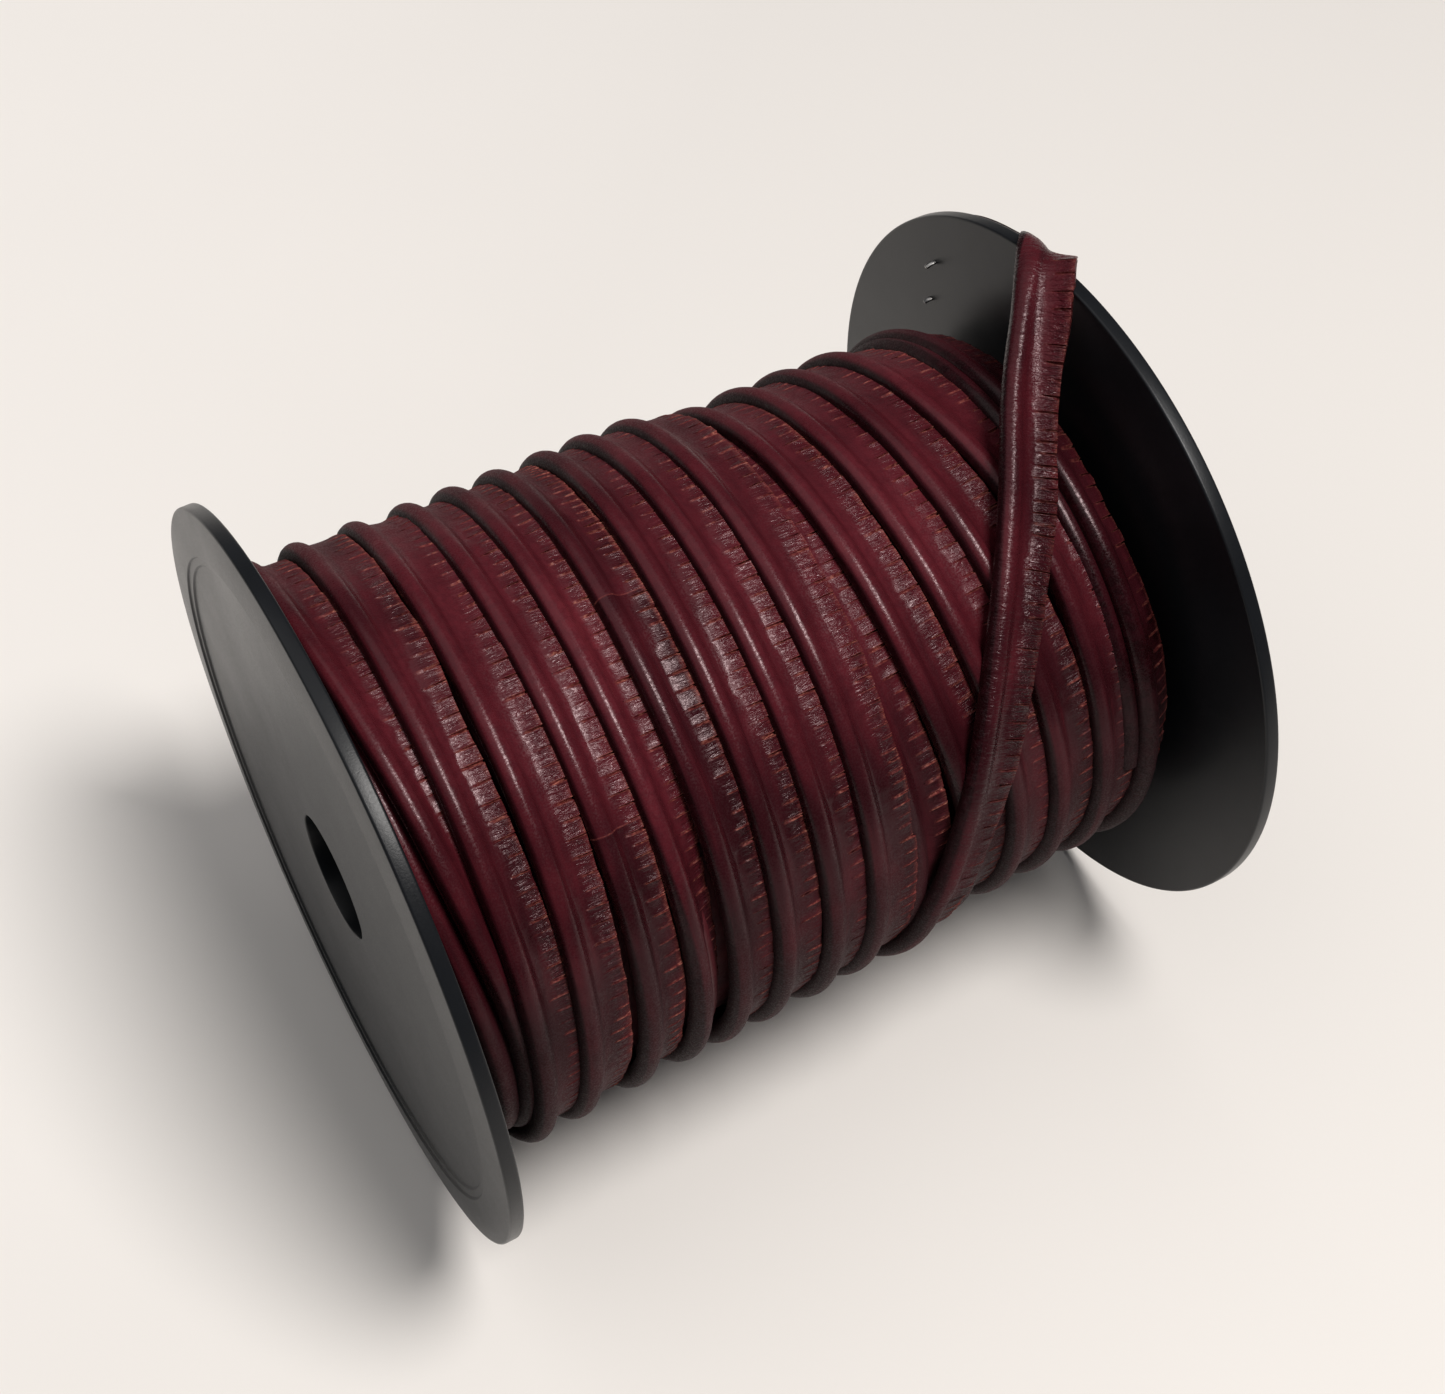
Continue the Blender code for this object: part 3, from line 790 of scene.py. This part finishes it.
def strip_piece(name, route, start, end, notches, material, seed, shade=0.0):
    """One stretch of the strip from start to end mm along its route, with its notched edge."""
    rng = np.random.default_rng(seed)
    places, depth, half_width, slant, lift, twist, length = notches
    inside = (places > start + NOTCH_CLEARANCE) & (places < end - NOTCH_CLEARANCE)
    index = np.nonzero(inside)[0]
    s, open_share, middles, joins = strip_stations(
        route, start, end, places[index], half_width[index]
    )
    nearest = index[np.clip(np.searchsorted(middles, s), 0, len(index) - 1)]
    tab = np.clip(np.searchsorted(places, s), 0, len(lift) - 1)
    at_cut = np.abs(s - places[nearest]) < 0.001
    lifted = np.where(at_cut, (lift[tab] + lift[tab - 1]) / 2, lift[tab])
    turned = np.where(at_cut, 0.0, twist[tab] * (s - places[nearest]))

    width = route.at(route.width, s)
    for wave in WIDTH_WAVES:
        width = width + wander(rng, s, *wave)
    crown = wander(rng, s, *CROWN_WAVE)
    sag = wander(rng, s, *SAG_WAVE)
    bead = 1 + wander(rng, s, *BEAD_WAVE)
    over_rim = over_the_rim(route.at(route.points, s)[:, 0])
    bead_width = bead * (1 + SPREAD * over_rim)
    bead_height = bead * (1 - PINCH * over_rim)
    band = length[nearest] * CUT_LENGTHS.get(name, 1.0)
    band = np.minimum(band, width - GROOVE - LEAST_MARGIN)
    w, h, q, edge = strip_section(width, band, bead_width, bead_height)

    flatness = np.clip((w - GROOVE) / (width[:, None] - GROOVE), 0, 1)
    raised = lifted[:, None] * np.clip(flatness * 2 - 1, 0, 1)
    h = h + flatness * (sag[:, None] + raised + turned[:, None] * q)
    h = h + crown[:, None] * np.sin(np.pi * flatness)
    open_here = open_share[:, None] * depth[nearest][:, None]
    h = h - open_here * NOTCH_DEPTH * np.clip(q * 2.2, 0, 1)
    w = w - open_here * NOTCH_DRAWS_BACK * edge * q
    shift = slant[nearest][:, None] * (w - width[:, None]) * (q > 0) * open_share[:, None]

    place, along, side, up = route.frames(s)
    points = place[:, None] + side[:, None] * w[..., None] + up[:, None] * h[..., None]
    points = points + along[:, None] * shift[..., None]
    mesh = grid_mesh(name, points)
    strip = np.stack([np.broadcast_to(s[:, None], w.shape), w, h], axis=-1)
    store(mesh, "strip", "FLOAT_VECTOR", strip)

    cut = inside_shown(rng, s, open_share, open_here, depth[nearest], q, edge)
    store(mesh, "crinkle", "FLOAT", creasing(rng, s, flatness, CRINKLES.get(name, 0.0)))
    angle = np.degrees(np.arctan2(place[:, 1], place[:, 2]))
    dull = np.maximum(progress(angle, *DULL_IN_FRONT), progress(angle, *DULL_BEHIND))
    store(mesh, "dull", "FLOAT", dull[:, None] * np.ones_like(w))
    # Painted shade: the side turned to the front is a little darker, and the given shade darkens
    # stretches in a flange's shadow
    tone_and_shade = shade + wander(rng, s, *TONE_WAVE) - PAINTED_SHADE_IN_FRONT * progress(angle, *FRONT_ANGLES)
    seam = np.zeros_like(s)
    for join in joins:
        seam = np.maximum(seam, np.clip(1 - np.abs(s - join) / SPLICE_HALF_WIDTH, 0, 1))
        tone_and_shade = tone_and_shade - SPLICE_SHADE * np.clip(1 - (join - s) / SPLICE_FADE, 0, 1) * (s < join)
    # Painted shade: the bead's flank down in the gap to the turn before is darkened almost to black
    gap_shade = np.clip((-w - FLANK_START) / FLANK_FADE, 0, 1)
    store(mesh, "tone_and_shade", "FLOAT", tone_and_shade[:, None] - PAINTED_SHADE_IN_GAP * gap_shade)
    # Painted shade dims the cut edges on some stretches
    cut = np.clip(cut + 0.5 * seam[:, None] * (h > -0.6), 0, 1) * CUT_PAINTED_SHADE.get(name, 1.0)
    store(mesh, "cut", "FLOAT", cut)
    return add_object(name, mesh, material)


def plain_strip(name, route, start, end, step, material):
    """A hidden stretch of the strip, without notches."""
    s = np.linspace(start, end, max(int((end - start) / step), 4))
    angles = np.radians([20, 60, 100, 145, 190, 240, 300])
    width = route.at(route.width, s)[:, None]
    ones = np.ones_like(width)
    bead_w, bead_h = BEAD_RADIUS * np.cos(angles), BEAD_RADIUS * np.sin(angles)
    across = [GROOVE, *bead_w, UNDERSIDE_START]
    w = np.concatenate([width, np.array(across) * ones, width], axis=1)
    h = np.array([FLAT_TOP, FLAT_TOP, *bead_h, FLAT_BOTTOM, FLAT_BOTTOM]) * ones
    place, _, side, up = route.frames(s)
    points = place[:, None] + side[:, None] * w[..., None] + up[:, None] * h[..., None]
    return add_object(name, grid_mesh(name, points), material)


def make_notches(route):
    """Where the edge is notched, and how each notch and the tab after it differ."""
    rng = np.random.default_rng(SEED)
    dense = wander(rng, np.arange(0.0, route.length, 1.0), 22.0, 1.0)
    places = [1.0]
    while places[-1] < route.length - 1.0:
        closeness = CLOSE_NOTCHES if dense[int(places[-1])] > CROWDED_ABOVE else 1.0
        places.append(places[-1] + NOTCH_PITCH * closeness * (1 + rng.normal(0, 0.07)))
    count = len(places)
    depth = np.clip(rng.normal(0.85, 0.30, count), 0.0, 1.3)
    half_width = NOTCH_HALF_WIDTH * np.clip(rng.normal(1.0, 0.25, count), 0.5, 1.6)
    slant = rng.normal(0.0, 0.10, count)
    lift = rng.normal(0.0, 0.07, count)
    twist = rng.normal(0.0, 0.05, count)
    length = NOTCH_LENGTH * np.clip(rng.normal(1.0, 0.13, count), 0.6, 1.3)
    return np.array(places), depth, half_width, slant, lift, twist, length


MIDDLE_ACROSS, MIDDLE_RISE = 2.15, -0.3  # from the bead's centre to the section's middle
PATH_STEP = 8.0
INNER_STEP = 4.0
HIDDEN_STEP = 3.0


def world_path(route, start, end):
    """The middle of the strip's width as points in metres."""
    s = np.linspace(start, end, int((end - start) / PATH_STEP) + 2)
    place, _, side, up = route.frames(s)
    middle = place + side * MIDDLE_ACROSS + up * MIDDLE_RISE
    middle[:, 2] += AXIS_HEIGHT / MM
    return middle * MM


def declare_strip(piece, route, start, end, nodes):
    path = world_path(route, start, end)
    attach(piece, "root")
    if nodes:
        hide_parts(*nodes)


def make_winding(leather, inner_leather):
    route = inner_route()
    piece = plain_strip("inner_turns", route, 0.0, route.length, INNER_STEP, inner_leather)
    declare_strip(piece, route, 0.0, route.length, [f"piping_layer_{i}" for i in range(1, 7)])

    route = outer_route()
    notches = make_notches(route)
    first = FIRST_EIGHTH
    stretches = (
        ("seventh_layer_right_a", -0.15, 1.5, ["piping_layer_7"], True),
        ("seventh_layer_right_b", 1.5, 4.5, [], True),
        ("seventh_layer_right_c", 4.5, 6.5, [], True),
        ("seventh_layer_left", 6.5, first - 1.5, [], False),
        ("eighth_layer_a", first - 1.5, first + 0.5, ["piping_layer_8"], True),
        ("eighth_layer_b", first + 0.5, first + 2.5, [], True),
        ("eighth_layer_c", first + 2.5, first + 4.5, [], True),
        ("eighth_layer_d", first + 4.5, first + 6.5, [], True),
        ("eighth_layer_e", first + 6.5, None, [], True),
    )
    for number, (name, begin, finish, nodes, notched) in enumerate(stretches):
        start = route.s_at_turn(begin)
        end = route.tail_start if finish is None else route.s_at_turn(finish)
        if notched:
            # The turns against the right flange get a painted shadow of the flange
            piece = strip_piece(
                name, route, start, end, notches, leather, SEED + number, PAINTED_FLANGE_SHADOW.get(name, 0.0)
            )
        else:
            piece = plain_strip(name, route, start, end, HIDDEN_STEP, inner_leather)
        declare_strip(piece, route, start, end, nodes)
    piece = strip_piece(
        "tail_strip", route, route.tail_start, route.length, notches, leather, TAIL_SEED
    )
    declare_strip(piece, route, route.tail_start, route.length, ["tail_leather"])
    return route


FILLER_RADIUS = 0.72
FILLER_STAND_OUT = 0.5
FILLER_CORNERS = 14
FILLER_STRANDS = 3
FILLER_TWIST = 1.1  # radians per mm


def make_filler(route, material):
    """The filler cord inside the tail's bead. It shows at the cut end."""
    s = np.arange(route.tail_start + 1.0, route.length, 0.8)
    s = np.append(s, [route.length])
    place, along, side, up = route.frames(s)
    place[-1] += along[-1] * FILLER_STAND_OUT
    angles = np.linspace(0, 2 * math.pi, FILLER_CORNERS + 1)[:-1]
    twist = s[:, None] * FILLER_TWIST
    radius = FILLER_RADIUS * (1 + 0.07 * np.cos(FILLER_STRANDS * (angles + twist)))
    radius[-1] *= 0.8
    flat = (1 - PINCH * over_the_rim(place[:, 0]))[:, None]
    offset = side[:, None] * (np.cos(angles) * radius)[..., None]
    offset = offset + up[:, None] * (np.sin(angles) * radius * flat)[..., None]
    points = place[:, None] + offset
    mesh = grid_mesh("filler_cord", points)
    strip = np.stack([
        np.broadcast_to(s[:, None], radius.shape),
        np.broadcast_to(angles, radius.shape),
        radius,
    ], axis=-1)
    store(mesh, "strip", "FLOAT_VECTOR", strip)
    piece = add_object("filler_cord", mesh, material)
    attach(piece, "root")
    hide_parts("tail_filler_cord")


# ---------------------------------------------------------------- flanges

RIM_ROUNDING = 0.35
LAND_INNER_RADIUS = 43.7
STEP_INNER_RADIUS = 42.5
STEP_DEPTH = 0.3
RECESS_DEPTH = 0.6
RIM_SLOPE = 0.45  # the land falls away to the rim
BORE_RADIUS = 8.5
SPIGOT_RADIUS = 12.9
SPIGOT_LENGTH = 8.0
FLANGE_SEGMENTS = 240
WARP_START_RADIUS = 30.0  # beyond it the flange is very slightly warped
WARPS = ((2, 0.03), (5, 0.02))  # waves round the rim, and their height
RIM_WARP = 0.8


def rounded(corner, before, after, radius, steps=4):
    """Points of a small arc that eases a corner of a profile."""
    corner, before, after = (np.asarray(p, float) for p in (corner, before, after))
    start = corner + (before - corner) / np.linalg.norm(before - corner) * radius
    end = corner + (after - corner) / np.linalg.norm(after - corner) * radius
    u = np.linspace(0, 1, steps + 1)[:, None]
    return (1 - u) ** 2 * start + 2 * u * (1 - u) * corner + u**2 * end


def flange_profile():
    """(radius, depth from the outer face) as a closed loop, with eased corners."""
    corners = [
        (BORE_RADIUS, RECESS_DEPTH, 0.25),
        (STEP_INNER_RADIUS - 0.25, RECESS_DEPTH, 0.12),
        (STEP_INNER_RADIUS, STEP_DEPTH, 0.10),
        (LAND_INNER_RADIUS - 0.2, STEP_DEPTH, 0.10),
        (LAND_INNER_RADIUS, 0.0, 0.12),
        (FLANGE_RADIUS, RIM_SLOPE, RIM_ROUNDING),
        (FLANGE_RADIUS, FLANGE_THICKNESS, RIM_ROUNDING),
        (SPIGOT_RADIUS, FLANGE_THICKNESS, 0.2),
        (SPIGOT_RADIUS, FLANGE_THICKNESS + SPIGOT_LENGTH, 0.3),
        (BORE_RADIUS, FLANGE_THICKNESS + SPIGOT_LENGTH, 0.2),
    ]
    points = []
    for i, (radius, depth, easing) in enumerate(corners):
        before = corners[i - 1][:2]
        after = corners[(i + 1) % len(corners)][:2]
        points.append(rounded((radius, depth), before, after, easing))
    return np.vstack(points)


def make_flange(name, node, outward, material):
    profile = flange_profile()
    angles = np.linspace(0, 2 * math.pi, FLANGE_SEGMENTS + 1)[:-1]
    rng = np.random.default_rng(FLANGE_SEEDS[outward])
    wobble = np.zeros_like(angles)
    for waves, amount in WARPS:
        wobble = wobble + amount * np.cos(waves * angles + rng.uniform(0, 6))
    radius = profile[:, 0] * np.ones((FLANGE_SEGMENTS, 1))
    far = progress(radius, WARP_START_RADIUS, FLANGE_RADIUS)
    x = outward * (OUTER_X / MM - profile[:, 1] - wobble[:, None] * far * RIM_WARP)
    y = radius * np.sin(angles)[:, None]
    z = radius * np.cos(angles)[:, None] + AXIS_HEIGHT / MM
    points = np.stack([x, y, z], axis=-1)
    corners = profile.shape[0]
    station, corner = np.meshgrid(np.arange(FLANGE_SEGMENTS), np.arange(corners), indexing="ij")
    ring = (station + 1) % FLANGE_SEGMENTS
    following = (corner + 1) % corners
    quad = [
        station * corners + corner,
        station * corners + following,
        ring * corners + following,
        ring * corners + corner,
    ]
    if outward < 0:
        quad = quad[::-1]
    faces = np.stack(quad, axis=-1).reshape(-1, 4)
    mesh = bpy.data.meshes.new(name)
    mesh.from_pydata((points * MM).reshape(-1, 3).tolist(), [], faces.tolist())
    mesh.shade_smooth()
    mesh.set_sharp_from_angle(angle=math.radians(35))
    piece = add_object(name, mesh, material)
    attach(piece, "root")
    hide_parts(node)
    return piece


# ---------------------------------------------------------------- staple

STAPLE_LEGS = ((30.9, 30.9), (30.7, 24.2))
STAPLE_TIP_LENGTHS = (1.35, 0.85)  # how far the points stand out of the inner face
STAPLE_TIP_DROPS = ((0.1, -0.6), (0.3, -0.6))
STAPLE_HALF_WIDTH = 0.30
STAPLE_HALF_THICKNESS = 0.22
CROWN_X = 57.55


def make_staple(material):
    """Flat wire: the crown lies on the strip, and the points of the legs stand out of the flange."""
    inner = INNER_X / MM
    legs = [np.array([0.0, y, z]) for y, z in STAPLE_LEGS]
    across = (legs[1] - legs[0]) / np.linalg.norm(legs[1] - legs[0])
    out = np.array([1.0, 0.0, 0.0])
    halves = []
    ends = zip(legs, STAPLE_TIP_LENGTHS, STAPLE_TIP_DROPS, (across, -across))
    for leg, length, drop, inward in ends:
        bent = np.array([0.0, *drop])
        halves.append([
            leg + bent + out * (inner - length),
            leg + bent * 0.55 + out * (inner - length * 0.7),
            leg + bent * 0.15 + out * (inner - length * 0.3),
            leg + out * (inner + 0.4),
            leg + out * (inner + 1.6),
            leg + out * (CROWN_X - 0.6),
            leg + inward * 0.18 + out * (CROWN_X - 0.15),
            leg + inward * 0.7 + out * CROWN_X,
        ])
    line = smooth_through(halves[0] + halves[1][::-1], 6)
    along = np.gradient(line, axis=0)
    along /= np.linalg.norm(along, axis=1)[:, None]
    normal = np.cross(across, out)
    side = normal - along * (along @ normal)[:, None]
    side /= np.linalg.norm(side, axis=1)[:, None]
    up = np.cross(side, along)
    angles = np.radians([20, 70, 110, 160, 200, 250, 290, 340])
    a = STAPLE_HALF_WIDTH * np.sign(np.cos(angles)) * np.abs(np.cos(angles)) ** 0.4
    b = STAPLE_HALF_THICKNESS * np.sign(np.sin(angles)) * np.abs(np.sin(angles)) ** 0.4
    taper = np.ones(len(line))
    taper[:2] = (0.45, 0.75)
    taper[-2:] = (0.75, 0.45)
    points = line[:, None] + side[:, None] * (a * taper[:, None])[..., None]
    points = points + up[:, None] * (b * taper[:, None])[..., None]
    mesh = grid_mesh("staple_wire", points, 40.0)
    piece = add_object("staple_wire", mesh, material)
    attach(piece, "root")
    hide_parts("staple")


# ---------------------------------------------------------------- floor and light


FLOOR_REACH = 3.0
FLOOR_CELLS = 8
FLOOR_HEIGHT = -0.0001


def make_floor():
    ticks = np.linspace(-FLOOR_REACH, FLOOR_REACH, FLOOR_CELLS + 1).tolist()
    places = [(x, y, FLOOR_HEIGHT) for x in ticks for y in ticks]
    row = len(ticks)
    faces = [
        (i * row + j, (i + 1) * row + j, (i + 1) * row + j + 1, i * row + j + 1)
        for i in range(FLOOR_CELLS)
        for j in range(FLOOR_CELLS)
    ]
    mesh = bpy.data.meshes.new("floor")
    mesh.from_pydata(places, [], faces)
    piece = add_object("floor", mesh, floor_material())


# name, direction from the spool, distance and size in metres, watts, colour
LIGHTS = (
    ("key", (0.19, -0.30, 0.93), 1.00, 0.38, 10.0, (1.0, 0.97, 0.94)),
    ("top", (-0.24, 0.20, 0.95), 1.30, 1.90, 6.8, (1.0, 0.98, 0.96)),
)
WORLD_COLOR = (0.93, 0.97, 1.04)
WORLD_STRENGTH = 0.09


def make_lights():
    centre = Vector((0.0, 0.0, AXIS_HEIGHT))
    for name, direction, distance, size, power, color in LIGHTS:
        data = bpy.data.lights.new(name, "AREA")
        data.shape = "DISK"
        data.size = size
        data.energy = power
        data.color = color
        light = bpy.data.objects.new(name, data)
        bpy.context.scene.collection.objects.link(light)
        toward = Vector(direction).normalized()
        light.location = centre + toward * distance
        light.rotation_euler = toward.to_track_quat("Z", "Y").to_euler()
    world = bpy.data.worlds.new("studio")
    world.use_nodes = True
    background = world.node_tree.nodes["Background"]
    background.inputs["Color"].default_value = (*WORLD_COLOR, 1.0)
    background.inputs["Strength"].default_value = WORLD_STRENGTH
    bpy.context.scene.world = world
    bpy.context.scene.view_settings.view_transform = "Standard"


# ---------------------------------------------------------------- assembly


def main():
    make_camera()
    make_lights()
    make_floor()
    leather = leather_material()
    route = make_winding(leather, inner_leather_material())
    make_filler(route, cotton_material())
    plastic = plastic_material()
    make_flange("left_flange_fine", "left_flange", -1, plastic)
    make_flange("right_flange_fine", "right_flange", 1, plastic)
    make_staple(steel_material())
    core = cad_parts["core_tube"]
    core.data.materials.clear()
    core.data.materials.append(core_material())


main()
